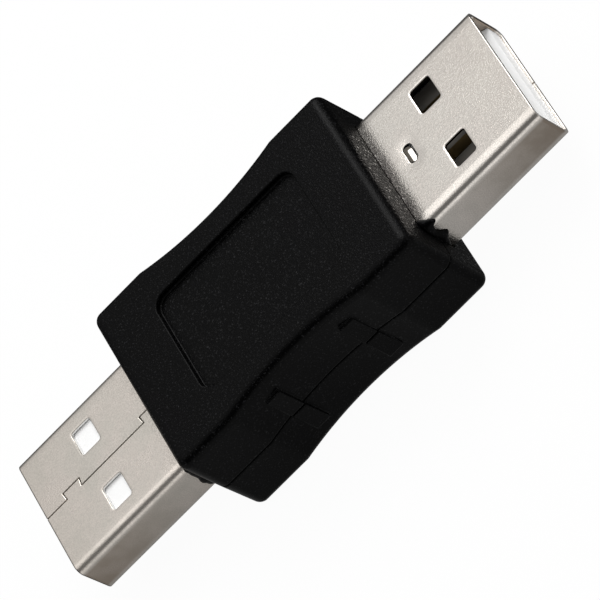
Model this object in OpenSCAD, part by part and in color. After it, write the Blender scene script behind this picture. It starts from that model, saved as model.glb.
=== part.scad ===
// Plug-to-plug coupler: two flat plugs held back to back in a moulded two-half housing,
// with a small board that links their contacts straight through.
// The origin is the middle of the coupler, on the plug axis. +X runs out along the right plug,
// +Z points up through the panel recess. The left plug is the right one turned half a turn about Y.

/* [Housing] */
// Length of the housing along the parting line
housing_length = 25.4; // [24:0.2:32]
// Width of the housing on either side of its waist
housing_width = 17; // [16.6:0.2:24]
// Height of the closed housing, both halves together
housing_height = 10.5; // [9.2:0.1:14]
// How much taller the upper half is than the lower one
half_difference = 0.3; // [0:0.1:0.6]
// Thickness of the side and end walls
wall = 1.3; // [1:0.1:1.6]
// Thickness of the roof under the panel recess
roof = 1; // [0.8:0.1:1.3]
// Radius of the upright corners
corner_r = 0.9; // [0.4:0.1:2]
// Radius of the rounding along the top edges
edge_r = 0.9; // [0.4:0.05:1.1]
// Taper of the side and end walls, in degrees
draft = 0.5; // [0:0.25:2]
// Bevel of each half along the parting line
parting_bevel = 0.08; // [0.04:0.02:0.2]
// How far the middle of the housing lies off the middle of the two plugs, towards the right plug
housing_shift = 0.25; // [0:0.05:0.4]

/* [Finger waist] */
// Length of the hollowed stretch of each side
waist_length = 14.5; // [10:0.5:16]
// Depth of the hollow at its middle
waist_depth = 0.82; // [0.4:0.01:1]
// Distance of each grip rib's middle from the middle of the waist
grip_offset = 4; // [2:0.1:5]
// Width of a grip rib along the housing
grip_width = 1.4; // [1:0.1:2.4]
// Height of a grip rib above the parting line
grip_height = 3.2; // [1.5:0.05:3.8]
// How far the flat face of a grip rib lies inside the widest part of the housing
grip_inset = 0.34; // [0.1:0.02:0.4]

/* [Panel recess] */
// Length of the recess in the top
panel_length = 15.1; // [10:0.1:18]
// Width of the recess
panel_width = 10.1; // [6:0.1:11]
// Radius of its corners
panel_r = 1.2; // [0.5:0.1:2]
// Depth of the recess
panel_depth = 0.55; // [0.3:0.05:0.8]

/* [Plug shell] */
// How far each plug stands out of the housing, where both stand out alike
plug_reach = 12.5; // [11.8:0.1:13]
// Length of the folded shell
shell_length = 18.75; // [17.5:0.25:20]
// Outer width of the shell
shell_width = 12; // [11.8:0.05:12.2]
// Outer height of the shell
shell_height = 4.5; // [4.4:0.05:4.6]
// Thickness of the sheet
sheet = 0.3; // [0.25:0.01:0.35]
// Outer radius of the folds
fold_r = 0.75; // [0.45:0.05:0.8]
// Distance of the windows' middle from the tip
window_setback = 6.27; // [5.6:0.01:6.8]
// Distance of the windows' middle from the plug axis
window_offset = 3.02; // [2.4:0.02:3.4]
// Length of a window along the plug
window_length = 2.02; // [1.6:0.02:2.4]
// Width of a window across the plug
window_width = 2.4; // [1.8:0.05:2.6]
// Radius of the window corners
window_r = 0.25; // [0.1:0.05:0.5]

/* [Shell seam] */
// Width of the gap where the folded edges meet
seam_gap = 0.08; // [0.04:0.02:0.2]
// Distance of the seam from the plug axis, away from its locking tabs
seam_offset = 0.12; // [0:0.02:0.4]
// Distance of the first locking tab from the tip
tab_setback = 2.2; // [1.5:0.1:3]
// Distance from the first locking tab to the second
tab_pitch = 8.7; // [7:0.1:9]
// Length of a locking tab along the seam
tab_length = 1.85; // [1.2:0.05:2.4]
// How far a locking tab reaches across the seam
tab_reach = 0.7; // [0.4:0.05:1]
// How much wider a locking tab is at its end than at its root, on each side
tab_flare = 0.1; // [0:0.02:0.2]

/* [Lance] */
// Distance of the pressed lance's middle from the tip
lance_setback = 9.76; // [9.6:0.02:10.2]
// Length of the lance across the plug
lance_length = 1.75; // [1.2:0.05:2.2]
// Width of the lance along the plug
lance_width = 0.85; // [0.6:0.05:1]
// Slope of the pressed tongue, in degrees
lance_slope = 14; // [12:1:26]

/* [Insulator] */
// Depth of the mouth from the tip to the insulator's block
mouth_depth = 8.65; // [8:0.05:8.8]
// Thickness of the tongue
tongue_thickness = 1.84; // [1.7:0.02:2]
// How far the tongue's front lies inside the mouth
tongue_setback = 0.2; // [0.1:0.05:0.6]
// Length of the lead-in slope at the tongue's front
lead_length = 1; // [0.4:0.1:1.2]
// Height of the lead-in slope
lead_height = 0.45; // [0.2:0.05:0.8]

/* [Contacts] */
// Width of a contact
contact_width = 1; // [0.8:0.05:1.1]
// Thickness of a contact
contact_thickness = 0.3; // [0.2:0.02:0.35]
// How far a contact stands above the tongue
contact_proud = 0.05; // [0:0.01:0.1]
// Distance of the two outer contacts from the plug axis
outer_contact = 3.5; // [3.3:0.05:3.7]
// Distance of the two inner contacts from the plug axis
inner_contact = 1; // [0.9:0.05:1.2]
// Distance of the outer contacts' front from the tip
power_setback = 1.9; // [1.8:0.1:2.4]
// How much further back the inner contacts start
data_setback = 1; // [0.6:0.1:1.4]
// Straight stretch of each tail behind the insulator
tail_lead = 0.3; // [0.2:0.05:0.5]
// Length of each tail on the board
tail_length = 2; // [1.2:0.1:2.4]

/* [Link board] */
// Width of the board
board_width = 11; // [10.6:0.1:11.4]
// Thickness of the board
board_thickness = 0.8; // [0.6:0.1:1]
// Gap from the bend of the tails to the edge of the board
board_gap = 0.3; // [0.2:0.05:0.6]
// Diameter of the plated holes through the board
via_d = 0.5; // [0.3:0.05:0.7]
// How far the solder spreads past the tails
solder_spread = 0.35; // [0.2:0.05:0.4]
// Thickness of solder over the tails
solder_cover = 0.12; // [0.06:0.02:0.2]

/* [Inside the housing] */
// Thickness of the cradle walls that hold the shells' rear ends
cradle_thickness = 1; // [0.8:0.1:1.4]
// Distance of a cradle wall from the rear end of its shell
cradle_setback = 1; // [0.6:0.1:1.6]
// Width of the keys that lock into the shells
key_width = 2; // [1:0.1:2.4]
// Distance of the keys from the plug axis
key_offset = 3.4; // [3:0.1:3.8]
// Depth of the keys, less than the thickness of the sheet
key_depth = 0.22; // [0.1:0.02:0.24]
// Diameter of the locating pins
pin_d = 1; // [0.8:0.1:1.2]
// Length of the locating pins
pin_length = 1.2; // [0.8:0.1:1.6]
// Distance of the pins from the end of the housing
pin_setback = 2.8; // [2.6:0.1:3.2]
// Thickness of the boss round a pin or socket
boss_wall = 0.4; // [0.3:0.05:0.5]
// Length of the rests that hold the edges of the board
rest_length = 4; // [2:0.5:6]
// How far the rests reach over the board
rest_overlap = 0.6; // [0.4:0.05:0.7]

/* [Clearances] */
// Between a shell and the housing
plug_fit = 0.1; // [0.03:0.01:0.12]
// Between an insulator and its shell
insulator_fit = 0.03; // [0.01:0.01:0.06]
// Between a contact and its slot
contact_fit = 0.02; // [0.01:0.01:0.05]
// Between a key and its slot
key_fit = 0.1; // [0.05:0.01:0.2]
// Between a lance and its pocket
lance_fit = 0.1; // [0.05:0.01:0.2]
// Between a locating pin and its socket
pin_fit = 0.05; // [0.03:0.01:0.1]
// Between the rests and the board
rest_fit = 0.05; // [0.03:0.01:0.1]

/* [Hidden] */

$fn = 48;
// Steps of the housing's curves in each quarter: upright corner, waist and edge rounding
corner_steps = 8;
waist_steps = 12;
edge_steps = 8;
// Smallest corner radius left where the rounded edges meet the top
least_r = 0.15;
// How far a cutting solid runs past the face it cuts
over = 0.5;

black = [0.06, 0.06, 0.065];
steel = [0.78, 0.76, 0.73];
white = [0.95, 0.95, 0.94];
gold = [0.85, 0.68, 0.3];
green = [0.1, 0.36, 0.18];
tin = [0.72, 0.72, 0.74];

waist_r = (pow(waist_length / 2, 2) + pow(waist_depth, 2)) / (2 * waist_depth);
// Middle of the waist's arc, outside the housing
waist_centre = housing_width / 2 - waist_depth + waist_r;
pin_x = housing_length / 2 - pin_setback;
// The pins stand half-way between the shell and the outside of the housing
pin_y = (shell_width + housing_width) / 4;

tip = housing_length / 2 + plug_reach;
rear = tip - shell_length;
inner_width = shell_width - 2 * sheet;
inner_height = shell_height - 2 * sheet;
inner_r = max(fold_r - sheet, least_r);
cradle_x = rear + cradle_setback;
block_front = tip - mouth_depth;

lance_x = tip - lance_setback;
// Corner radius of the lance, short of a full half circle
lance_r = 0.45 * lance_width;
// Slit left round the pressed tongue, and its overlap with the sheet at the rear
lance_root = 0.08;
lance_drop = lance_width * tan(lance_slope) + sheet / cos(lance_slope);

tongue_top = tongue_thickness - inner_height / 2;
contact_top = tongue_top + contact_proud;
contact_bottom = contact_top - contact_thickness;
// The right plug's tails lie against the underside of the board
bend = contact_top + board_thickness / 2;
// Slope of that bend, in degrees, so that it is as long as it is deep
bend_angle = 45;
bend_x = rear - tail_lead;
board_half = bend_x - bend - board_gap;
tail_end = board_half - tail_length;

// Place across the plug and setback from the tip of each contact: power, data minus, data plus, ground
contact_places = [
    [outer_contact, power_setback],
    [inner_contact, power_setback + data_setback],
    [-inner_contact, power_setback + data_setback],
    [-outer_contact, power_setback]
];

// A quarter of the housing's outline, moved in from the widest one
function outline_quarter(inset) =
    let (
        hx = housing_length / 2 - inset,
        hy = housing_width / 2 - inset,
        r = max(corner_r - inset, least_r),
        arc_r = waist_r + inset,
        waist_end = sqrt(pow(arc_r, 2) - pow(waist_centre - hy, 2))
    )
    concat(
        [
            for (i = [0:corner_steps])
                let (a = 90 * i / corner_steps)
                [hx - r + r * cos(a), hy - r + r * sin(a)]
        ],
        [
            for (i = [0:waist_steps])
                let (x = waist_end * (1 - i / waist_steps))
                [x, waist_centre - sqrt(pow(arc_r, 2) - pow(x, 2))]
        ]
    );

function outline(inset) =
    let (q = outline_quarter(inset), last = len(q) - 1)
    concat(
        q,
        [for (i = [last - 1:-1:0]) [-q[i].x, q[i].y]],
        [for (i = [0:last]) [-q[i].x, -q[i].y]],
        [for (i = [last - 1:-1:0]) [q[i].x, -q[i].y]]
    );

// Height and inset of each ring of a half, from just under the parting line up over the rounded edge
function housing_levels(top) =
    let (edge_z = top - edge_r, edge_in = edge_z * tan(draft))
    concat(
        [[-parting_bevel, 2 * parting_bevel], [parting_bevel, 0]],
        [
            for (i = [0:edge_steps])
                let (a = 90 * i / edge_steps)
                [edge_z + edge_r * sin(a), edge_in + edge_r * (1 - cos(a))]
        ]
    );

// Closed solid through a stack of rings that all have the same number of points, in pairs either side
// of the X axis. Strips across those pairs close its two ends.
module loft(levels) {
    rings = [for (level = levels) outline(level[1])];
    n = len(rings[0]);
    top = (len(levels) - 1) * n;
    polyhedron(
        points = [for (k = [0:len(levels) - 1]) for (p = rings[k]) [p.x, p.y, levels[k][0]]],
        faces = concat(
            [for (i = [0:n / 2 - 2]) [i, i + 1, n - 2 - i, n - 1 - i]],
            [for (i = [0:n / 2 - 2]) [top + n - 1 - i, top + n - 2 - i, top + i + 1, top + i]],
            [
                for (k = [0:len(levels) - 2])
                    for (i = [0:n - 1])
                        let (low = k * n, high = low + n, j = (i + 1) % n)
                        each [[low + i, high + i, high + j], [low + i, high + j, low + j]]
            ]
        )
    );
}

// Rectangle with round corners, centred
module round_rect(size, r) {
    square([size.x - 2 * r, size.y], center = true);
    square([size.x, size.y - 2 * r], center = true);
    for (sx = [-1, 1])
        for (sy = [-1, 1])
            translate([sx * (size.x / 2 - r), sy * (size.y / 2 - r)])
                circle(r);
}

// Prism along X from one place to another, on a section drawn in Y and Z
module along_x(from, to) {
    translate([from, 0, 0])
        rotate([90, 0, 90])
            linear_extrude(to - from)
                children();
}

// Prism across Y, centred, on a section drawn in X and Z
module across_y(width) {
    rotate([90, 0, 0])
        linear_extrude(width, center = true)
            children();
}

// Space that the right plug fills, less the keys of one half that lock into its shell
module plug_pocket() {
    size = [shell_width + 2 * plug_fit, shell_height + 2 * plug_fit];
    difference() {
        along_x(rear - over, tip)
            round_rect(size, fold_r + plug_fit);
        for (sy = [-1, 1])
            translate([cradle_x, sy * key_offset - key_width / 2, shell_height / 2 - key_depth])
                cube([cradle_thickness, key_width, shell_height]);
    }
}

// Hollow inside one half up to its roof, less its cradle walls, bosses and board rests
module housing_core(shift, height) {
    boss_r = pin_d / 2 + pin_fit + boss_wall;
    difference() {
        translate([shift, 0, -over])
            linear_extrude(height + over)
                polygon(outline(wall));
        for (sx = [0, 1])
            mirror([sx, 0, 0])
                translate([cradle_x, -housing_width / 2, -housing_height])
                    cube([cradle_thickness, housing_width, 2 * housing_height]);
        for (sx = [-1, 1])
            for (sy = [-1, 1])
                translate([shift + sx * pin_x, sy * pin_y, -housing_height])
                    cylinder(h = 2 * housing_height, r = boss_r);
        for (sy = [0, 1])
            mirror([0, sy, 0])
                translate([
                    -rest_length / 2,
                    board_width / 2 - rest_overlap,
                    board_thickness / 2 + rest_fit
                ])
                    cube([rest_length, housing_width, housing_height]);
    }
}

// Flat-faced ribs on the waist, drawn for one half
module grip_ribs() {
    face = housing_width / 2 - grip_inset;
    for (sx = [-1, 1])
        for (sy = [0, 1])
            mirror([0, sy, 0])
                translate([sx * grip_offset - grip_width / 2, face - wall, parting_bevel])
                    cube([grip_width, wall, grip_height - parting_bevel]);
}

// Everything under the parting line, which cuts a half flat
module below_parting_line() {
    translate([-housing_length, -housing_width, -housing_height])
        cube([2 * housing_length, 2 * housing_width, housing_height]);
}

// One half of the housing: the upper one for side 1, and for side -1 the lower one, upside down
module housing_half(side) {
    shift = side * housing_shift;
    top = (housing_height + side * half_difference) / 2;
    panel_z = top - panel_depth;
    difference() {
        translate([shift, 0, 0]) {
            loft(housing_levels(top));
            grip_ribs();
        }
        below_parting_line();
        housing_core(shift, panel_z - roof);
        for (sx = [0, 1])
            mirror([sx, 0, 0])
                plug_pocket();
        translate([shift, 0, panel_z])
            linear_extrude(panel_depth + over)
                round_rect([panel_length, panel_width], panel_r);
        for (sy = [-1, 1])
            translate([shift - pin_x, sy * pin_y, -over])
                cylinder(h = over + pin_length + pin_fit, d = pin_d + 2 * pin_fit);
    }
    for (sy = [-1, 1])
        translate([shift + pin_x, sy * pin_y, -pin_length])
            cylinder(h = pin_length + over, d = pin_d);
}

// Outline of the lance in plan, grown by a margin
module lance_outline(grow) {
    round_rect([lance_width + 2 * grow, lance_length + 2 * grow], lance_r + grow);
}

// Middle line of the seam from the tip to the rear, with its two dovetailed tabs
function seam_path() =
    let (
        root = -seam_offset,
        end = tab_reach - seam_offset,
        first = tip - tab_setback,
        second = first - tab_pitch
    )
    concat(
        [[tip + over, root]],
        [
            for (x = [first, second])
                each [
                    [x - tab_flare, root],
                    [x, end],
                    [x - tab_length, end],
                    [x - tab_length + tab_flare, root]
                ]
        ],
        [[rear - over, root]]
    );

// Gap of even width along a path
module slit(path, gap) {
    for (i = [0:len(path) - 2]) {
        step = path[i + 1] - path[i];
        translate(path[i])
            rotate(atan2(step.y, step.x))
                translate([-gap / 2, -gap / 2])
                    square([norm(step) + gap, gap]);
    }
}

// Folded shell of the right plug, seam down
module plug_shell() {
    difference() {
        along_x(rear, tip)
            difference() {
                round_rect([shell_width, shell_height], fold_r);
                round_rect([inner_width, inner_height], inner_r);
            }
        for (sy = [-1, 1]) {
            translate([tip - window_setback, sy * window_offset, -shell_height])
                linear_extrude(2 * shell_height)
                    round_rect([window_length, window_width], window_r);
            translate([cradle_x - key_fit, sy * key_offset - key_width / 2 - key_fit, -shell_height])
                cube([cradle_thickness + 2 * key_fit, key_width + 2 * key_fit, 2 * shell_height]);
        }
        translate([0, 0, -shell_height / 2 - over])
            linear_extrude(over + 2 * sheet)
                slit(seam_path(), seam_gap);
        translate([lance_x, 0, 0])
            linear_extrude(shell_height)
                lance_outline(0);
    }
    lance_tongue();
}

// Tongue pressed down inside the lance's opening, still joined to the sheet at its rear
module lance_tongue() {
    intersection() {
        translate([lance_x - lance_root, 0, 0])
            linear_extrude(shell_height)
                lance_outline(-lance_root);
        translate([lance_x - lance_width / 2, -lance_length, shell_height / 2])
            rotate([0, lance_slope, 0])
                translate([-lance_width, 0, -sheet])
                    cube([3 * lance_width, 2 * lance_length, sheet]);
    }
}

// White moulding inside the right shell: a block at the rear and the tongue that carries the contacts
module plug_insulator() {
    front = tip - tongue_setback;
    size = [inner_width - 2 * insulator_fit, inner_height - 2 * insulator_fit];
    difference() {
        along_x(rear, front)
            round_rect(size, inner_r);
        translate([block_front, -shell_width / 2, tongue_top])
            cube([mouth_depth, shell_width, shell_height]);
        across_y(shell_width)
            polygon([
                [front - lead_length, tongue_top],
                [front, tongue_top - lead_height],
                [front + over, tongue_top - lead_height],
                [front + over, tongue_top]
            ]);
        for (c = contact_places)
            contact_slot(c[0], c[1]);
        translate([lance_x - lance_root, 0, shell_height / 2 - lance_drop - lance_fit])
            linear_extrude(shell_height)
                lance_outline(lance_fit);
    }
}

// Slot in the insulator for one contact
module contact_slot(place, setback) {
    from = rear - over;
    to = tip - setback + contact_fit;
    translate([from, place - contact_width / 2 - contact_fit, contact_bottom - contact_fit])
        cube([to - from, contact_width + 2 * contact_fit, contact_thickness + 2 * contact_fit]);
}

// Side view of a contact of the right plug: along the tongue, then down under the board
function contact_section(front) =
    let (low = contact_top - bend, corner = contact_thickness * tan(bend_angle / 2))
    [
        [front, contact_top],
        [bend_x, contact_top],
        [bend_x - bend, low],
        [tail_end, low],
        [tail_end, low - contact_thickness],
        [bend_x - bend + corner, low - contact_thickness],
        [bend_x + corner, contact_bottom],
        [front, contact_bottom]
    ];

module contact(which) {
    place = contact_places[which];
    color(gold)
        translate([0, place[0], 0])
            across_y(contact_width)
                polygon(contact_section(tip - place[1]));
}

// Solder of the right plug: one fillet over each tail, under the board
module plug_solder() {
    foot = contact_width / 2 + solder_spread;
    crown = contact_width / 2 + solder_cover;
    top = -board_thickness / 2;
    depth = contact_thickness + solder_cover;
    for (i = [0:len(contact_places) - 1])
        difference() {
            translate([0, contact_places[i][0], 0])
                along_x(tail_end - solder_spread, board_half - solder_spread)
                    polygon([[-foot, top], [foot, top], [crown, top - depth], [-crown, top - depth]]);
            contact(i);
        }
}

// Turns what is drawn for the right plug over to the left end
module turned() {
    rotate([0, 180, 0])
        children();
}

module upper_housing() { color(black) housing_half(1); }
module lower_housing() { color(black) turned() housing_half(-1); }
module right_shell() { color(steel) plug_shell(); }
module left_shell() { color(steel) turned() plug_shell(); }
module right_insulator() { color(white) plug_insulator(); }
module left_insulator() { color(white) turned() plug_insulator(); }
module right_contact_power() { contact(0); }
module right_contact_data_minus() { contact(1); }
module right_contact_data_plus() { contact(2); }
module right_contact_ground() { contact(3); }
module left_contact_power() { turned() contact(0); }
module left_contact_data_minus() { turned() contact(1); }
module left_contact_data_plus() { turned() contact(2); }
module left_contact_ground() { turned() contact(3); }
module right_solder() { color(tin) plug_solder(); }
module left_solder() { color(tin) turned() plug_solder(); }

module link_board() {
    color(green)
        difference() {
            cube([2 * board_half, board_width, board_thickness], center = true);
            for (c = contact_places)
                translate([0, c[0], -board_thickness])
                    cylinder(h = 2 * board_thickness, d = via_d);
        }
}

upper_housing();
lower_housing();
right_shell();
left_shell();
right_insulator();
left_insulator();
right_contact_power();
right_contact_data_minus();
right_contact_data_plus();
right_contact_ground();
left_contact_power();
left_contact_data_minus();
left_contact_data_plus();
left_contact_ground();
link_board();
right_solder();
left_solder();
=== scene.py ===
"""A plug-to-plug coupler: black waisted housing with a flat metal plug at each end.

The frame holds every piece at its real size. This script gives the pieces their finish, rounds
their edges, adds the moulding flash at the plug roots, and sets up the light tent and the camera.
"""

import math

import bmesh
import bpy
from mathutils import Matrix, Vector


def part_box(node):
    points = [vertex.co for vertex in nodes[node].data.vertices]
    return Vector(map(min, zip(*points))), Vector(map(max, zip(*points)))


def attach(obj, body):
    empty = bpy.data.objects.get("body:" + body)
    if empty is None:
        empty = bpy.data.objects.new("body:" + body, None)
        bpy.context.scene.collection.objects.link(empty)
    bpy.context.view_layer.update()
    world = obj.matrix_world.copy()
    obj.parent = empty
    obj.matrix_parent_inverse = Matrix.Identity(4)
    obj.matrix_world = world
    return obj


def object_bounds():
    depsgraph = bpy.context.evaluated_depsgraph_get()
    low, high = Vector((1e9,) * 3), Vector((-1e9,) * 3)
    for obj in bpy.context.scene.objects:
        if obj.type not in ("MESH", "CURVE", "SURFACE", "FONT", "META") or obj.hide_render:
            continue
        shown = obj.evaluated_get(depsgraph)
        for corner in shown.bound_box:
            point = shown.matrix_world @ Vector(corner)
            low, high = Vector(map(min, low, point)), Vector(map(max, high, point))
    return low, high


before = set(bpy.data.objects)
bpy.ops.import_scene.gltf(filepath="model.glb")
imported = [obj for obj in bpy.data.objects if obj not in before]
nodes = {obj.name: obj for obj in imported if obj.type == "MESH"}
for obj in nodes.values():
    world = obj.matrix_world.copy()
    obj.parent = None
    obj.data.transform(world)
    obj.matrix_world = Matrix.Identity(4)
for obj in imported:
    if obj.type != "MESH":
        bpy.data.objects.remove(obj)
cad_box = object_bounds()

# One millimetre in the frame's metres
MM = 0.001

# Places taken from the frame: the right plug's tip, side and top, and the housing's ends. The left
# plug's tip, side and top lie as far from the origin. The floor lies a hair below the lowest point.
TIP_X, SIDE_Y, TOP_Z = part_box("right_shell")[1]
HOUSING_LOW, HOUSING_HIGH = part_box("upper_housing")
FLOOR_Z = cad_box[0].z - 0.02 * MM

# The camera that was fitted to the photograph: place, the directions of its right and up, and lens
CAMERA_PLACE = Vector((115.6, -254.4, 303.9)) * MM
CAMERA_RIGHT = Vector((0.6789, -0.4170, -0.6043))
CAMERA_UP = Vector((0.6796, 0.6686, 0.3020))
SENSOR_WIDTH = 36.0
LENS = 328.26

# The light tent: brightness of its back wall and front, of the skirt near the floor at the back and
# in front, what its roof adds, and brightness of a white card at the right
BACK_LEVEL = 0.66
FRONT_LEVEL = 0.16
BACK_SKIRT = 0.12
FRONT_SKIRT = 0.9
ROOF_EXTRA = 0.65
CARD_LEVEL = 0.9
# Where each part of the tent begins and is full: the share of a direction that points back for the
# back wall, up for the walls above the skirt and for the roof, and right for the card
BACK_RANGE = (-0.55, -0.05)
WALL_RANGE = (0.1, 0.42)
ROOF_RANGE = (0.745, 0.84)
CARD_RANGE = (0.82, 0.92)

# The key lamp: a square soft box behind and to the right
KEY_TOWARDS = Vector((0.33, 0.62, 0.71))
KEY_DISTANCE = 350 * MM
KEY_SIZE = 220 * MM
KEY_POWER = 0.75

# The floor: its radius, its paint, and how much of it is shown as plain white
FLOOR_RADIUS = 3.0
FLOOR_PAINT = (0.85, 0.85, 0.85, 1)
FLOOR_SHOWN_WHITE = 0.96
# The floor as metal mirrors it: in the coupler's shade, behind, out in front, and how far the shade
# reaches from the coupler's front
FLOOR_SHADE = 0.35
FLOOR_BEHIND = 0.1
FLOOR_OPEN = 0.95
FLOOR_SHADE_REACH = 28 * MM

# Plain white light
WHITE = (1, 1, 1, 1)

# The folded shell: thickness of the sheet, the share of it at which the inside ends, outer radius
# of the folds, where the folds begin, and the way round one of them
SHEET = 0.3 * MM
INNER_SHARE = 0.9
FOLD_R = 0.75 * MM
FOLD_Y = SIDE_Y - FOLD_R
FOLD_Z = TOP_Z - FOLD_R
FOLD_GIRTH = FOLD_R * math.pi / 2

# Ranges on a shell, as distances from the origin: grime from the root outwards, the front edge
# and the inside behind the mouth, which both get painted shade, the change from a side to a wide
# face, and the crown of the wide faces before the folds
ROOT_X = HOUSING_HIGH.x
ROOT_RANGE = (ROOT_X, ROOT_X + 1.3 * MM)
FRONT_RANGE = (TIP_X - 0.14 * MM, TIP_X - 0.06 * MM)
SHADED_INSIDE_RANGE = (TIP_X - 2 * MM, TIP_X - 0.5 * MM)
FLANK_RANGE = (FOLD_Z - 0.3 * MM, FOLD_Z + 0.1 * MM)
CROWN_RANGE = (FOLD_Y - 0.36 * MM, FOLD_Y + 0.42 * MM)

# Tarnish on a shell, each with the range along which it grows: on the sides, where it is partly
# painted shade, what the last stretch before the tip adds to them, and a film on the wide faces
SIDE_RANGE, SIDE_SHADE_AND_TARNISH = (ROOT_X, TIP_X), 0.85
TIP_RANGE, TIP_SHADE_AND_TARNISH = (TIP_X - 0.3 * MM, TIP_X), 0.5
FILM_RANGE, FILM_TARNISH = (ROOT_X + 6 * MM, TIP_X), 0.1

# The windows of a shell: middle and half size along and across, the radius of their corners, the
# width and depth of their rolled rims, how near the edge a cut wall lies, and the heights between
# which the rim turns into the wall
WINDOW_ALONG = (TIP_X - 6.27 * MM, 1.01 * MM)
WINDOW_ACROSS = (3.02 * MM, 1.2 * MM)
WINDOW_R = 0.25 * MM
RIM_WIDTH = 0.22 * MM
RIM_DEPTH = 0.022 * MM
CUT_REACH = 0.02 * MM
CUT_RANGE = (TOP_Z - 0.1 * MM, TOP_Z - 0.05 * MM)

# The lance in a shell's plain face: middle and half size along and across, the radius of its
# corners, the width and depth of the dish pressed round it, and how near the edge its tongue ends
LANCE_X = TIP_X - 9.76 * MM
LANCE_ALONG = (LANCE_X, 0.425 * MM)
LANCE_ACROSS = (0, 0.875 * MM)
LANCE_R = 0.38 * MM
DISH_WIDTH = 1.0 * MM
DISH_DEPTH = 0.035 * MM
TONGUE_REACH = 0.01 * MM
# The lit ridge of the tongue, which its painted shade leaves out: its middle, how far it fades on
# either side, and where it ends
RIDGE_X = LANCE_X + 0.08 * MM
RIDGE_FADE = (0.08 * MM, 0.24 * MM)
RIDGE_END = (0.2 * MM, 0.5 * MM)

# The slot inside an insulator, which gets painted shade: where the shade sets in along the plug,
# and how far from its middle
SLOT_RANGE = (TIP_X - 3.5 * MM, TIP_X - 1.5 * MM)
SLOT_HEIGHT = (0.3 * MM, 0.5 * MM)

# Pebble grain: how much finer and lower the second layer is, and the heights that glint
FINE_SCALE = 2.3
FINE_SHARE = 0.4
GLINT_RANGE = (0.57, 0.74)
# The middle of a noise's range, and the span that it mostly fills
NOISE_MIDDLE = 0.5
NOISE_SPAN = (0.3, 0.7)

# The housing: its grain on the whole and on its ends, how much higher the ends' grain stands, how
# much is left of it on the sides, and its depth
GRAIN_SCALE = 6500.0
END_GRAIN_SCALE = 3400.0
END_GRAIN_GAIN = 4.0
SIDE_GRAIN = 0.2
GRAIN_DEPTH = 0.033 * MM
# Where a face begins to count as a side or an end and where it fully does, for the grain and, on
# the ends, for the gloss: the share of its direction that points there
SIDE_FACING = (0.4, 0.9)
END_FACING = (0.85, 0.98)
END_GLOSS_FACING = (0.9, 0.99)
# Roughness between and on the pebbles, and the same on the ends, where half a glint is full
HOUSING_ROUGHNESS = (0.28, 0.2)
END_ROUGHNESS = (0.62, 0.2)
END_GLINT = (0, 0.5)

# Colours of the plastics, first between the pebbles and then on them; on the black, the pebbles'
# lighter colour is a painted glint
PLASTIC_BLACK = (0.0002, 0.0002, 0.0003), (0.018, 0.018, 0.019)
PLASTIC_WHITE = (0.93, 0.93, 0.925), (0.96, 0.96, 0.955)
BOARD_GREEN = (0.012, 0.09, 0.035), (0.02, 0.13, 0.05)
# Painted shade deep in an insulator's slot
SLOT_SHADE = (0.3, 0.28, 0.25)

# Colours of the metals, first dull and then bright; the gold's are darkened as painted shade
SHADED_GOLD = (0.2, 0.14, 0.06), (0.28, 0.2, 0.09)
TIN = (0.52, 0.52, 0.53), (0.68, 0.68, 0.67)

# The small pieces: roughness of the plastics between the pebbles and on them, of the metals from
# clean to specked, and the depth of their relief
WHITE_ROUGHNESS, WHITE_DEPTH = (0.42, 0.34), 0.003 * MM
GREEN_ROUGHNESS, GREEN_DEPTH = (0.45, 0.33), 0.004 * MM
GOLD_ROUGHNESS = (0.3, 0.45)
TIN_ROUGHNESS, TIN_DEPTH = (0.25, 0.45), 0.02 * MM

# Nickel: colours of grime, of tarnish that is partly painted shade, of painted shade on the front
# edge, of a painted highlight on cut walls, and of dark metal for painted shade
GRIME = (0.1, 0.095, 0.09)
TARNISH_AND_SHADE = (0.36, 0.3, 0.245)
FRONT_EDGE_SHADE = (0.08, 0.07, 0.06)
CUT_HIGHLIGHT = (0.95, 0.94, 0.92)
PAINTED_SHADE_METAL = (0.02, 0.018, 0.015)
# How dark specks are and how much they cover, which of them hold grime, their depth, and how much
# tarnish shows on dull and on bright metal
SPECK_SHADE = 0.5
SPECK_SHARE = 0.33
GRIME_SPECKS = (0.5, 0.64)
SPECK_DEPTH = 0.004 * MM
STAIN_SHARES = (1.1, 0.85)
# The two plugs: colour and roughness of dull and of bright metal, grime at the root, painted
# shade on the front edge, and height of the crown. The left plug's darker colours are painted
# shade.
RIGHT_NICKEL = {
    "colours": ((0.755, 0.715, 0.66), (0.855, 0.795, 0.735)), "roughness": (0.2, 0.14),
    "grime": 0.75, "edge_shade": 0.0, "crown": 0.065 * MM,
}
SHADED_LEFT_NICKEL = {
    "colours": ((0.61, 0.575, 0.52), (0.745, 0.68, 0.62)), "roughness": (0.33, 0.27),
    "grime": 0.3, "edge_shade": 0.8, "crown": 0.015 * MM,
}

# Edges sharper than this, in degrees, stay crisp or are rounded
SHARP_ANGLE = 13.0
# Faces of a shell closer in turn than this, in degrees, are joined
FLAT_ANGLE = 0.2
# Points closer than this are one point
MERGE_DISTANCE = 0.001 * MM
# Radius of the rounded edges of each kind of piece, and the faces round one of them
ROUNDINGS = {"shell": 0.05 * MM, "housing": 0.1 * MM}
ROUNDING_FACES = 3

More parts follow.
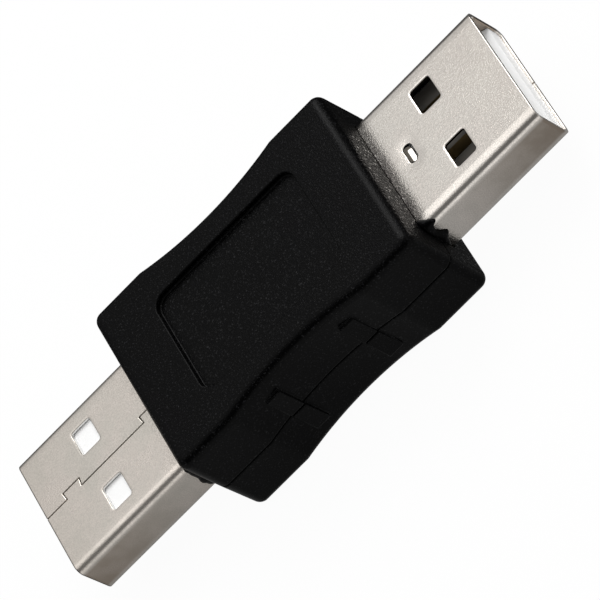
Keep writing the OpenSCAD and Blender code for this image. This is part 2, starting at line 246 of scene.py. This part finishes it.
# Moulding flash at the plugs' roots, in millimetres. Each point gives the place round the sheet
# from the start of the front fold, and the reach out of the housing.
RIGHT_FLASH = [
    (-0.15, 0.0), (0.1, 0.36), (0.3, 0.62), (0.52, 0.96), (0.74, 1.16), (0.87, 1.08), (0.98, 0.72),
    (1.5, 0.52), (2.0, 0.62), (2.2, 0.8), (2.5, 0.96), (2.67, 0.9), (3.05, 0.5), (3.6, 0.24),
    (4.1, 0.0),
]
LEFT_FLASH = [
    (0.1, 0.0), (0.4, 0.7), (0.65, 0.98), (0.93, 1.08), (1.3, 1.06), (1.73, 1.12), (2.3, 1.1),
    (2.6, 1.13), (2.95, 1.26), (3.3, 1.3), (3.6, 1.18), (4.0, 1.14), (4.25, 0.9), (4.35, 0.0),
]
# Thickness of the flash's edge, what its body adds to that, the reach in millimetres at which it
# adds all of it, and the grid that the flash is bent from: faces round and along, and half a side
FLASH_EDGE = 0.05 * MM
FLASH_THICKNESS = 0.22 * MM
FLASH_FULL_REACH = 0.3
FLASH_COLUMNS = 90
FLASH_ROWS = 8
FLASH_HALF = 0.5


def make_camera():
    """Sets the camera at the photograph's place and turn."""
    data = bpy.data.cameras.new("camera")
    data.sensor_width = SENSOR_WIDTH
    data.lens = LENS
    camera = bpy.data.objects.new("camera", data)
    bpy.context.scene.collection.objects.link(camera)
    right = CAMERA_RIGHT.normalized()
    back = right.cross(CAMERA_UP).normalized()
    up = back.cross(right)
    turn = Matrix((right, up, back)).transposed().to_4x4()
    camera.matrix_world = Matrix.Translation(CAMERA_PLACE) @ turn
    bpy.context.scene.camera = camera


def add_node(tree, kind, inputs=None, **settings):
    """Adds a node. inputs maps a socket to its value, or to the socket that feeds it."""
    made = tree.nodes.new(kind)
    for name, value in settings.items():
        setattr(made, name, value)
    for socket, value in (inputs or {}).items():
        if isinstance(value, bpy.types.NodeSocket):
            tree.links.new(value, made.inputs[socket])
        else:
            made.inputs[socket].default_value = value
    return made


def math_node(tree, operation, first, second=0.0):
    """Joins two values, or a value and a number, by one sum."""
    inputs = {0: first, 1: second}
    return add_node(tree, "ShaderNodeMath", inputs, operation=operation).outputs[0]


def split_axes(tree, vector):
    """The X, Y and Z of a vector."""
    return add_node(tree, "ShaderNodeSeparateXYZ", {0: vector}).outputs


def stretch_range(tree, value, low, high, to_low=0.0, to_high=1.0, smooth=True):
    """Maps a value from one range to another, held at both ends."""
    inputs = {"Value": value, "From Min": low, "From Max": high}
    inputs.update({"To Min": to_low, "To Max": to_high})
    settings = {"interpolation_type": "SMOOTHSTEP" if smooth else "LINEAR", "clamp": True}
    return add_node(tree, "ShaderNodeMapRange", inputs, **settings).outputs[0]


def make_light_tent():
    """A tent that is bright behind and overhead, and open in front above a pale skirt."""
    world = bpy.data.worlds.new("light_tent")
    bpy.context.scene.world = world
    world.use_nodes = True
    tree = world.node_tree
    share = split_axes(tree, add_node(tree, "ShaderNodeTexCoord").outputs["Generated"])
    behind = stretch_range(tree, share["Y"], *BACK_RANGE)
    walls = stretch_range(tree, behind, 0, 1, FRONT_LEVEL, BACK_LEVEL, smooth=False)
    skirt = stretch_range(tree, behind, 0, 1, FRONT_SKIRT, BACK_SKIRT, smooth=False)
    overhead = stretch_range(tree, share["Z"], *ROOF_RANGE, 0, ROOF_EXTRA)
    roof = math_node(tree, "MULTIPLY", behind, overhead)
    level = math_node(tree, "ADD", stretch_range(tree, share["Z"], *WALL_RANGE, skirt, walls), roof)
    level = stretch_range(tree, share["X"], *CARD_RANGE, level, CARD_LEVEL)
    background = tree.nodes["Background"]
    background.inputs["Color"].default_value = WHITE
    tree.links.new(level, background.inputs["Strength"])


def make_key_lamp():
    """A soft box that shines on the middle of the coupler."""
    data = bpy.data.lights.new("key_lamp", "AREA")
    data.shape = "SQUARE"
    data.size = KEY_SIZE
    data.energy = KEY_POWER
    lamp = bpy.data.objects.new("key_lamp", data)
    lamp.location = KEY_TOWARDS.normalized() * KEY_DISTANCE
    lamp.rotation_euler = KEY_TOWARDS.to_track_quat("Z", "Y").to_euler()
    bpy.context.scene.collection.objects.link(lamp)


def make_floor():
    """A round pale floor that shows as white and still takes the coupler's shadow.

    Metal mirrors it as pale in front, and darker in the coupler's shade and behind.
    """
    shape = bmesh.new()
    bmesh.ops.create_circle(shape, cap_ends=True, segments=64, radius=FLOOR_RADIUS)
    bmesh.ops.translate(shape, verts=shape.verts, vec=(0, 0, FLOOR_Z))
    floor = add_piece("floor", shape)
    material = bpy.data.materials.new("floor_white")
    material.use_nodes = True
    tree = material.node_tree
    tree.nodes.remove(tree.nodes["Principled BSDF"])
    rays = add_node(tree, "ShaderNodeLightPath").outputs
    mirrored = math_node(tree, "MAXIMUM", rays["Is Glossy Ray"], rays["Is Transmission Ray"])
    shown = math_node(tree, "MULTIPLY", rays["Is Camera Ray"], FLOOR_SHOWN_WHITE)
    share = math_node(tree, "MAXIMUM", shown, mirrored)
    depth = split_axes(tree, add_node(tree, "ShaderNodeNewGeometry").outputs["Position"])["Y"]
    front, back = cad_box[0].y, cad_box[1].y
    shade_range = (front - FLOOR_SHADE_REACH, front)
    ahead = stretch_range(tree, depth, *shade_range, FLOOR_OPEN, FLOOR_SHADE, smooth=False)
    tone = stretch_range(tree, depth, front, back, ahead, FLOOR_BEHIND)
    strength = math_node(tree, "MAXIMUM", rays["Is Camera Ray"], tone)
    paint = add_node(tree, "ShaderNodeBsdfDiffuse", {"Color": FLOOR_PAINT}).outputs[0]
    white = add_node(tree, "ShaderNodeEmission", {"Color": WHITE, "Strength": strength}).outputs[0]
    mixed = add_node(tree, "ShaderNodeMixShader", {0: share, 1: paint, 2: white}).outputs[0]
    tree.links.new(mixed, tree.nodes["Material Output"].inputs["Surface"])
    floor.data.materials.append(material)


def add_piece(name, shape):
    """Makes an object of a finished bmesh."""
    mesh = bpy.data.meshes.new(name)
    shape.to_mesh(mesh)
    shape.free()
    piece = bpy.data.objects.new(name, mesh)
    bpy.context.scene.collection.objects.link(piece)
    return piece


def open_group(name, *labels):
    """A shader node group that is given a place and the labelled numbers. Returns it with these."""
    group = bpy.data.node_groups.new(name, "ShaderNodeTree")
    group.interface.new_socket("Place", in_out="INPUT", socket_type="NodeSocketVector")
    for label in labels:
        group.interface.new_socket(label, in_out="INPUT", socket_type="NodeSocketFloat")
    return group, add_node(group, "NodeGroupInput").outputs


def close_group(group, values):
    """Puts out a group's values under their labels."""
    for label in values:
        group.interface.new_socket(label, in_out="OUTPUT", socket_type="NodeSocketFloat")
    add_node(group, "NodeGroupOutput", values)
    return group


def noise(tree, place, scale, detail=2.0, rough=0.6):
    """Plain noise from 0 to 1."""
    inputs = {"Vector": place, "Scale": scale, "Detail": detail, "Roughness": rough}
    return add_node(tree, "ShaderNodeTexNoise", inputs).outputs[0]


def axis_distances(tree, place):
    """How far a place lies from the origin along each axis, whichever the side."""
    sizes = add_node(tree, "ShaderNodeVectorMath", {0: place}, operation="ABSOLUTE").outputs[0]
    return split_axes(tree, sizes)


def distance_outside(tree, off, along, across, corner_r):
    """How far a place lies outside a round-cornered rectangle.

    along and across each give the rectangle's middle and half size.
    """
    squares = []
    for axis, (middle, half) in (("X", along), ("Y", across)):
        aside = math_node(tree, "ABSOLUTE", math_node(tree, "SUBTRACT", off[axis], middle))
        beyond = math_node(tree, "SUBTRACT", aside, half - corner_r)
        beyond = math_node(tree, "MAXIMUM", beyond, 0.0)
        squares.append(math_node(tree, "MULTIPLY", beyond, beyond))
    from_corner = math_node(tree, "SQRT", math_node(tree, "ADD", *squares))
    return math_node(tree, "SUBTRACT", from_corner, corner_r)


def rolled_edge(tree, distance, width):
    """Height over a rolled edge: steepest at the edge itself, and level one width away."""
    left = stretch_range(tree, distance, 0, width, 1, 0, smooth=False)
    return math_node(tree, "SUBTRACT", 1.0, math_node(tree, "MULTIPLY", left, left))


def make_pebble_grain():
    """The spark-eroded grain of a mould: pebbles in the height, level on the whole, and a glint."""
    group, given = open_group("pebble_grain", "Scale")
    pebbles = noise(group, given["Place"], given["Scale"])
    fine_scale = math_node(group, "MULTIPLY", given["Scale"], FINE_SCALE)
    fine = noise(group, given["Place"], fine_scale, rough=0.5)
    height = math_node(group, "ADD", pebbles, math_node(group, "MULTIPLY", fine, FINE_SHARE))
    return close_group(group, {
        "Height": math_node(group, "SUBTRACT", height, NOISE_MIDDLE * (1 + FINE_SHARE)),
        "Glint": stretch_range(group, pebbles, *GLINT_RANGE),
    })


def make_handling_marks():
    """What handling leaves on metal: broad blotches and fine specks."""
    group, given = open_group("handling_marks", "Blotch scale", "Speck scale")
    blotch = noise(group, given["Place"], given["Blotch scale"], detail=4.0)
    speck = noise(group, given["Place"], given["Speck scale"])
    return close_group(group, {
        "Blotch": stretch_range(group, blotch, *NOISE_SPAN),
        "Speck": stretch_range(group, speck, *NOISE_SPAN, smooth=False),
    })


def make_folded_sheet():
    """Regions of a shell: its inside and front edge, which get painted shade, the crown of its wide
    faces, root, and tarnish that is partly painted shade.
    """
    group, given = open_group("folded_sheet")
    off = axis_distances(group, given["Place"])
    low = stretch_range(group, off["Z"], TOP_Z - SHEET, TOP_Z - INNER_SHARE * SHEET, 1, 0)
    narrow = stretch_range(group, off["Y"], SIDE_Y - SHEET, SIDE_Y - INNER_SHARE * SHEET, 1, 0)
    deep_shade = stretch_range(group, off["X"], *SHADED_INSIDE_RANGE, 1, 0)
    flank = stretch_range(group, off["Z"], *FLANK_RANGE, 1, 0)
    along = stretch_range(group, off["X"], *SIDE_RANGE, 0, SIDE_SHADE_AND_TARNISH)
    tip = stretch_range(group, off["X"], *TIP_RANGE, 0, TIP_SHADE_AND_TARNISH)
    # On the sides the tarnish is partly painted shade
    shaded_side = math_node(group, "MULTIPLY", flank, math_node(group, "ADD", along, tip))
    film = stretch_range(group, off["X"], *FILM_RANGE, 0, FILM_TARNISH)
    return close_group(group, {
        # The inside behind the mouth gets painted shade
        "Inside": math_node(group, "MULTIPLY", math_node(group, "MULTIPLY", low, narrow), deep_shade),
        "Crown": stretch_range(group, off["Y"], *CROWN_RANGE, 1, 0),
        "Root": stretch_range(group, off["X"], *ROOT_RANGE, 1, 0),
        "Tarnish and shade": math_node(group, "MAXIMUM", shaded_side, film),
        # The front edge, which gets painted shade
        "Front shade": stretch_range(group, off["X"], *FRONT_RANGE),
    })


def make_press_marks():
    """What the press leaves on a shell: rolled window rims, a dish round the lance, and cut metal.

    The cut walls of the windows get painted shade in the plain face and a painted highlight in the
    seam face. The lance's tongue gets painted shade beside its lit ridge.
    """
    group, given = open_group("press_marks")
    spot = split_axes(group, given["Place"])
    off = axis_distances(group, given["Place"])
    same_side = math_node(group, "MULTIPLY", spot["X"], spot["Z"])
    plain_face = math_node(group, "GREATER_THAN", same_side, 0.0)

    window = distance_outside(group, off, WINDOW_ALONG, WINDOW_ACROSS, WINDOW_R)
    below = stretch_range(group, off["Z"], *CUT_RANGE, 1, 0)
    wall = math_node(group, "MULTIPLY", math_node(group, "LESS_THAN", window, CUT_REACH), below)
    # Painted shade on the cut walls in the plain face
    shaded_wall = math_node(group, "MULTIPLY", wall, plain_face)

    lance = distance_outside(group, off, LANCE_ALONG, LANCE_ACROSS, LANCE_R)
    hollow = math_node(group, "SUBTRACT", 1.0, rolled_edge(group, lance, DISH_WIDTH))
    within = math_node(group, "LESS_THAN", lance, TONGUE_REACH)
    tongue = math_node(group, "MULTIPLY", within, plain_face)
    aside = math_node(group, "ABSOLUTE", math_node(group, "SUBTRACT", off["X"], RIDGE_X))
    ridge = stretch_range(group, aside, *RIDGE_FADE, 1, 0)
    lit_ridge = math_node(group, "MULTIPLY", ridge, stretch_range(group, spot["Y"], *RIDGE_END, 1, 0))
    # Painted shade on the lance's tongue beside its lit ridge
    shaded_tongue = math_node(group, "MULTIPLY", tongue, math_node(group, "SUBTRACT", 1.0, lit_ridge))
    return close_group(group, {
        "Rim": rolled_edge(group, window, RIM_WIDTH),
        "Dish": math_node(group, "MULTIPLY", hollow, plain_face),
        "Painted shade": math_node(group, "MAXIMUM", shaded_tongue, shaded_wall),
        "Painted highlight": math_node(group, "SUBTRACT", wall, shaded_wall),
    })


def start_material(name, **constants):
    """A material with its shader's plain values set. Returns it with its tree."""
    material = bpy.data.materials.new(name)
    material.use_nodes = True
    shader = material.node_tree.nodes["Principled BSDF"]
    for socket, value in constants.items():
        shader.inputs[socket.replace("_", " ")].default_value = value
    return material, material.node_tree


def feed_shader(tree, **values):
    """Links varying values to a material's shader."""
    shader = tree.nodes["Principled BSDF"]
    for socket, value in values.items():
        tree.links.new(value, shader.inputs[socket.replace("_", " ")])


def place_group(tree, group, **values):
    """Puts a shared effect in a material, read at the piece's own place."""
    inputs = {"Place": add_node(tree, "ShaderNodeTexCoord").outputs["Object"]}
    inputs.update({name.replace("_", " "): value for name, value in values.items()})
    return add_node(tree, "ShaderNodeGroup", inputs, node_tree=group).outputs


def mix_colour(tree, share, first, second):
    """Blends two colours by a share."""
    mixer = add_node(tree, "ShaderNodeMix", data_type="RGBA")
    sockets = mixer.inputs[0], mixer.inputs[6], mixer.inputs[7]
    for socket, value in zip(sockets, (share, first, second)):
        if isinstance(value, bpy.types.NodeSocket):
            tree.links.new(value, socket)
        else:
            socket.default_value = (*value, 1)
    return mixer.outputs[2]


def bump(tree, height, distance, under=None):
    """A bump of a height, over another bump where one is given."""
    inputs = {"Height": height, "Distance": distance}
    if under:
        inputs["Normal"] = under
    return add_node(tree, "ShaderNodeBump", inputs).outputs[0]


def housing_plastic(grain):
    """Black moulded plastic: fine grain with painted glints, smoother at the sides, coarse and
    speckled at the ends.
    """
    material, tree = start_material("housing_plastic", IOR=1.45, Specular_IOR_Level=0.07)
    seen = place_group(tree, grain, Scale=GRAIN_SCALE)
    ends = place_group(tree, grain, Scale=END_GRAIN_SCALE)
    facing = axis_distances(tree, add_node(tree, "ShaderNodeTexCoord").outputs["Normal"])
    even = stretch_range(tree, seen["Glint"], 0, 1, *HOUSING_ROUGHNESS)
    speckled = stretch_range(tree, ends["Glint"], *END_GLINT, *END_ROUGHNESS)
    kept = stretch_range(tree, facing["Y"], *SIDE_FACING, 1, SIDE_GRAIN)
    fine = math_node(tree, "MULTIPLY", seen["Height"], kept)
    coarse = math_node(tree, "MULTIPLY", ends["Height"], END_GRAIN_GAIN)
    height = stretch_range(tree, facing["X"], *END_FACING, fine, coarse)
    # The pebbles' lighter colour is a painted glint
    feed_shader(
        tree,
        Base_Color=mix_colour(tree, seen["Glint"], *PLASTIC_BLACK),
        Roughness=stretch_range(tree, facing["X"], *END_GLOSS_FACING, even, speckled),
        Normal=bump(tree, height, GRAIN_DEPTH),
    )
    return material


def shell_nickel(name, marks, sheet, press, look):
    """Nickel on folded steel sheet: specked, grimy at the root, tarnished, with painted shade
    inside, on the sides, at the front edge and on pressed marks, and a painted highlight on cut
    walls.
    """
    material, tree = start_material(name, Metallic=1.0)
    seen = place_group(tree, marks, Blotch_scale=320.0, Speck_scale=9000.0)
    form = place_group(tree, sheet)
    pressed = place_group(tree, press)
    dull, bright = look["colours"]
    specks = stretch_range(tree, seen["Speck"], 0, 1, 0, SPECK_SHARE)
    holding = stretch_range(tree, seen["Speck"], *GRIME_SPECKS, 0, look["grime"])
    showing = stretch_range(tree, seen["Blotch"], 0, 1, *STAIN_SHARES)
    layers = [
        (specks, tuple(SPECK_SHADE * c for c in dull)),
        (math_node(tree, "MULTIPLY", form["Root"], holding), GRIME),
        # Tarnish, on the sides partly painted shade
        (math_node(tree, "MULTIPLY", form["Tarnish and shade"], showing), TARNISH_AND_SHADE),
        # Painted shade on the front edge
        (math_node(tree, "MULTIPLY", form["Front shade"], look["edge_shade"]), FRONT_EDGE_SHADE),
        # Painted highlight on the cut walls in the seam face
        (pressed["Painted highlight"], CUT_HIGHLIGHT),
        # Painted shade inside the mouth, on the plain face's cut walls and on the lance's tongue
        (math_node(tree, "MAXIMUM", form["Inside"], pressed["Painted shade"]), PAINTED_SHADE_METAL),
    ]
    colour = mix_colour(tree, seen["Blotch"], dull, bright)
    for share, layer in layers:
        colour = mix_colour(tree, share, colour, layer)
    crown = bump(tree, form["Crown"], look["crown"])
    rims = bump(tree, pressed["Rim"], RIM_DEPTH, crown)
    dish = bump(tree, math_node(tree, "SUBTRACT", 1.0, pressed["Dish"]), DISH_DEPTH, rims)
    feed_shader(
        tree,
        Base_Color=colour,
        Roughness=stretch_range(tree, seen["Blotch"], 0, 1, *look["roughness"]),
        Normal=bump(tree, seen["Speck"], SPECK_DEPTH, dish),
    )
    return material


def insulator_white(grain):
    """White moulded plastic, with painted shade deep in the slot of the plug."""
    material, tree = start_material("insulator_white")
    seen = place_group(tree, grain, Scale=5000.0)
    off = axis_distances(tree, add_node(tree, "ShaderNodeTexCoord").outputs["Object"])
    deep_shade = stretch_range(tree, off["X"], *SLOT_RANGE, 1, 0)
    # Painted shade deep in the slot
    slot_shade = math_node(tree, "MULTIPLY", deep_shade, stretch_range(tree, off["Z"], *SLOT_HEIGHT, 1, 0))
    white = mix_colour(tree, seen["Glint"], *PLASTIC_WHITE)
    feed_shader(
        tree,
        Base_Color=mix_colour(tree, slot_shade, white, SLOT_SHADE),
        Roughness=stretch_range(tree, seen["Glint"], 0, 1, *WHITE_ROUGHNESS),
        Normal=bump(tree, seen["Height"], WHITE_DEPTH),
    )
    return material


def board_green(grain):
    """Green lacquer on a glass fibre board."""
    material, tree = start_material("board_green")
    seen = place_group(tree, grain, Scale=4000.0)
    feed_shader(
        tree,
        Base_Color=mix_colour(tree, seen["Glint"], *BOARD_GREEN),
        Roughness=stretch_range(tree, seen["Glint"], 0, 1, *GREEN_ROUGHNESS),
        Normal=bump(tree, seen["Height"], GREEN_DEPTH),
    )
    return material


def contact_gold(marks):
    """A thin gold flash on stamped strip, darkened as painted shade."""
    material, tree = start_material("contact_gold", Metallic=1.0)
    seen = place_group(tree, marks, Blotch_scale=700.0, Speck_scale=12000.0)
    feed_shader(
        tree,
        Base_Color=mix_colour(tree, seen["Blotch"], *SHADED_GOLD),
        Roughness=stretch_range(tree, seen["Speck"], 0, 1, *GOLD_ROUGHNESS),
    )
    return material


def solder_tin(marks):
    """Lumpy tin solder."""
    material, tree = start_material("solder_tin", Metallic=1.0)
    seen = place_group(tree, marks, Blotch_scale=1500.0, Speck_scale=6000.0)
    feed_shader(
        tree,
        Base_Color=mix_colour(tree, seen["Blotch"], *TIN),
        Roughness=stretch_range(tree, seen["Speck"], 0, 1, *TIN_ROUGHNESS),
        Normal=bump(tree, seen["Blotch"], TIN_DEPTH),
    )
    return material


def make_soft_shading():
    """Joins a piece's loose triangles and shades it smooth, but for edges sharper than an angle."""
    tree = bpy.data.node_groups.new("soft_shading", "GeometryNodeTree")
    for way in ("INPUT", "OUTPUT"):
        tree.interface.new_socket("Geometry", in_out=way, socket_type="NodeSocketGeometry")
    angle = add_node(tree, "GeometryNodeInputMeshEdgeAngle").outputs["Unsigned Angle"]
    limits = {0: angle, 1: math.radians(SHARP_ANGLE)}
    gentle = add_node(tree, "FunctionNodeCompare", limits, operation="LESS_THAN").outputs[0]
    shape = add_node(tree, "NodeGroupInput").outputs[0]
    for kind, inputs, settings in (
        ("GeometryNodeRemoveAttribute", {"Name": "custom_normal"}, {}),
        ("GeometryNodeMergeByDistance", {"Distance": MERGE_DISTANCE}, {}),
        ("GeometryNodeSetShadeSmooth", {"Shade Smooth": True}, {}),
        ("GeometryNodeSetShadeSmooth", {"Shade Smooth": gentle}, {"domain": "EDGE"}),
    ):
        shape = add_node(tree, kind, {"Geometry": shape, **inputs}, **settings).outputs[0]
    add_node(tree, "NodeGroupOutput", {0: shape})
    return tree


def finish_node(node, material, shading, rounding=0.0):
    """Gives a CAD piece its finish, smooth shading and, where asked, rounded edges."""
    node.data.materials.clear()
    node.data.materials.append(material)
    smooth = node.modifiers.new("soft_shading", "NODES")
    smooth.node_group = shading
    if rounding:
        if "shell" in node.name:
            plain = node.modifiers.new("joined_flats", "DECIMATE")
            plain.decimate_type = "DISSOLVE"
            plain.angle_limit = math.radians(FLAT_ANGLE)
        edge = node.modifiers.new("rounded_edges", "BEVEL")
        edge.width = rounding
        edge.segments = ROUNDING_FACES
        edge.limit_method = "ANGLE"
        edge.angle_limit = math.radians(SHARP_ANGLE)
        edge.use_clamp_overlap = False
    flats = node.modifiers.new("true_flats", "WEIGHTED_NORMAL")
    flats.keep_sharp = True


def on_shell(x, girth, lift):
    """Place on a shell: along its top for a girth below 0, round the front fold, then down."""
    if girth < 0:
        return Vector((x, -FOLD_Y - girth, TOP_Z + lift))
    if girth > FOLD_GIRTH:
        return Vector((x, -SIDE_Y - lift, FOLD_Z - (girth - FOLD_GIRTH)))
    turn = girth / FOLD_R
    r = FOLD_R + lift
    return Vector((x, -FOLD_Y - r * math.sin(turn), FOLD_Z + r * math.cos(turn)))


def reach_at(outline, girth):
    """Reach of a flash outline at a girth, on straight lines between its points."""
    for (g0, r0), (g1, r1) in zip(outline, outline[1:]):
        if g0 <= girth <= g1:
            return r0 + (r1 - r0) * (girth - g0) / (g1 - g0)
    return 0.0


def make_flash(name, outline, root_x, material):
    """A thin torn skin of plastic on a shell that runs out from the housing's end at root_x."""
    first, last = outline[0][0], outline[-1][0]
    shape = bmesh.new()
    segments = {"x_segments": FLASH_COLUMNS, "y_segments": FLASH_ROWS}
    bmesh.ops.create_grid(shape, size=FLASH_HALF, **segments)
    for vert in shape.verts:
        across, out = vert.co.x + FLASH_HALF, vert.co.y + FLASH_HALF
        girth = first + (last - first) * across
        reach = reach_at(outline, girth)
        taper = math.sqrt(max(1 - out * out, 0.0)) * min(1.0, reach / FLASH_FULL_REACH)
        x = root_x + math.copysign(out * reach * MM, root_x)
        vert.co = on_shell(x, girth * MM, FLASH_EDGE + FLASH_THICKNESS * taper)
    bmesh.ops.solidify(shape, geom=shape.faces, thickness=FLASH_EDGE)
    for face in shape.faces:
        face.smooth = True
    piece = add_piece(name, shape)
    piece.data.materials.append(material)
    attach(piece, "root")


bpy.context.scene.view_settings.view_transform = "Standard"
make_camera()
make_light_tent()
make_key_lamp()
make_floor()

pebble_grain = make_pebble_grain()
handling_marks = make_handling_marks()
shell_effects = handling_marks, make_folded_sheet(), make_press_marks()
finishes = {
    "housing": housing_plastic(pebble_grain),
    "right_shell": shell_nickel("shell_nickel", *shell_effects, RIGHT_NICKEL),
    # The left plug's darker nickel is painted shade
    "left_shell": shell_nickel("shell_nickel_shaded", *shell_effects, SHADED_LEFT_NICKEL),
    "insulator": insulator_white(pebble_grain),
    "contact": contact_gold(handling_marks),
    "solder": solder_tin(handling_marks),
    "board": board_green(pebble_grain),
}
soft_shading = make_soft_shading()
for name, node in nodes.items():
    finish = next(finish for kind, finish in finishes.items() if kind in name)
    rounding = next((r for kind, r in ROUNDINGS.items() if kind in name), 0.0)
    finish_node(node, finish, soft_shading, rounding)
make_flash("right_root_flash", RIGHT_FLASH, HOUSING_HIGH.x, finishes["housing"])
make_flash("left_root_flash", LEFT_FLASH, HOUSING_LOW.x, finishes["housing"])
